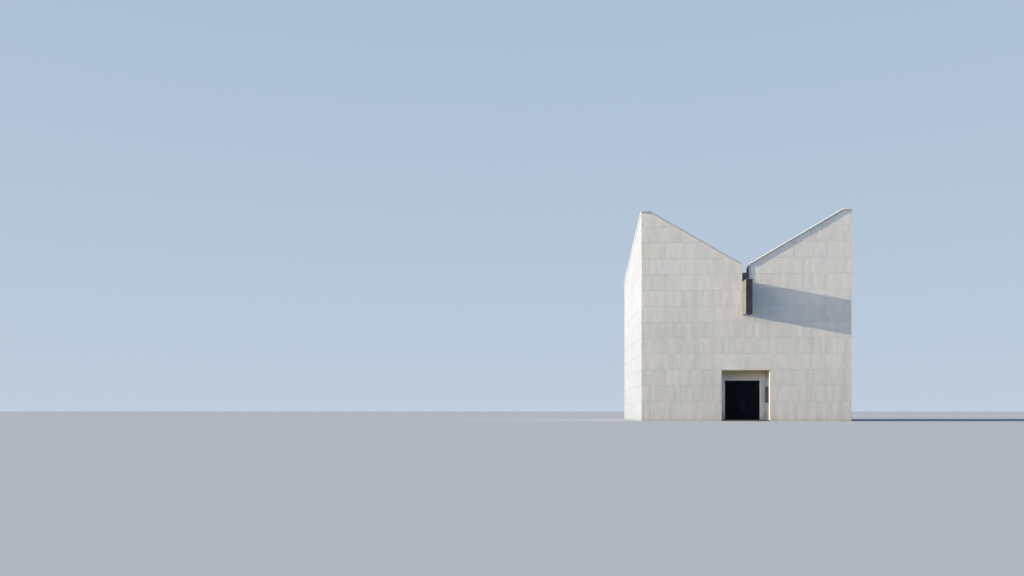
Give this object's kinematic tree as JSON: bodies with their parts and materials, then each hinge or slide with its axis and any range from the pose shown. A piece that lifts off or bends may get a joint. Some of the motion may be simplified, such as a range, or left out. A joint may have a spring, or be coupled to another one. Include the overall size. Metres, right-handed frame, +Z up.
{
  "type": "modern church building",
  "caption": "Square hollow church nave of white panels with a butterfly roof, a valley slot, a rainwater spout, a recessed portal and a hinged double door.",
  "frame": {"origin": "centre of the square plan, at ground level, on the underside of the floor slab", "axes": "+X to the right seen from the front, +Y towards the back wall, +Z up; the portal faces -Y"},
  "size_m": [15.69, 16.845, 15.9013],
  "materials": {
    "white_concrete": "matt white paint on concrete panels, faintly streaked",
    "roof_membrane": "matt grey roofing sheet with lapped seams",
    "floor_stone": "honed grey paving",
    "coping_metal": "satin pale grey sheet, lightly weathered",
    "spout_metal": "dull dark grey-brown weathered sheet",
    "door_paint": "satin blue-black paint",
    "steel": "brushed",
    "case_paint": "satin dark grey"
  },
  "bodies": {
    "building": {"left_wall": "white_concrete", "right_wall": "white_concrete", "front_wall_left": "white_concrete", "front_wall_right": "white_concrete", "front_wall_middle": "white_concrete", "front_gable_left": "white_concrete", "front_gable_right": "white_concrete", "back_wall_left": "white_concrete", "back_wall_right": "white_concrete", "valley_beam": "white_concrete", "portal_cheek_left": "white_concrete", "portal_cheek_right": "white_concrete", "portal_back_left": "white_concrete", "portal_back_right": "white_concrete", "portal_lintel": "white_concrete", "portal_ceiling": "white_concrete", "roof_left": "roof_membrane", "roof_right": "roof_membrane", "floor_slab": "floor_stone", "portal_floor": "floor_stone", "coping_left": "coping_metal", "coping_right": "coping_metal", "coping_front_left": "coping_metal", "coping_front_right": "coping_metal", "coping_back_left": "coping_metal", "coping_back_right": "coping_metal", "slot_flashing_left": "coping_metal", "slot_flashing_right": "coping_metal", "spout_left": "spout_metal", "spout_right": "spout_metal", "spout_front": "spout_metal", "gutter_bed": "spout_metal", "gutter_end_plate": "spout_metal", "door_frame_left": "door_paint", "door_frame_right": "door_paint", "door_frame_head": "door_paint", "hinge_left_lower": "steel", "hinge_left_upper": "steel", "hinge_right_lower": "steel", "hinge_right_upper": "steel", "door_sill": "steel", "notice_case": "case_paint"},
    "door_left": {"door_leaf_left": "door_paint", "door_pull_left": "steel"},
    "door_right": {"door_leaf_right": "door_paint", "door_pull_right": "steel"}
  },
  "joints": [
    {"name": "door_left_hinge", "type": "hinge", "parent": "building", "child": "door_left", "pos_m": [-1.247, -6.683, 1.56], "axis": [0, 0, -1], "range_deg": [0, 90]},
    {"name": "door_right_hinge", "type": "hinge", "parent": "building", "child": "door_right", "pos_m": [1.247, -6.683, 1.56], "axis": [0, 0, 1], "range_deg": [0, 90]}
  ]
}
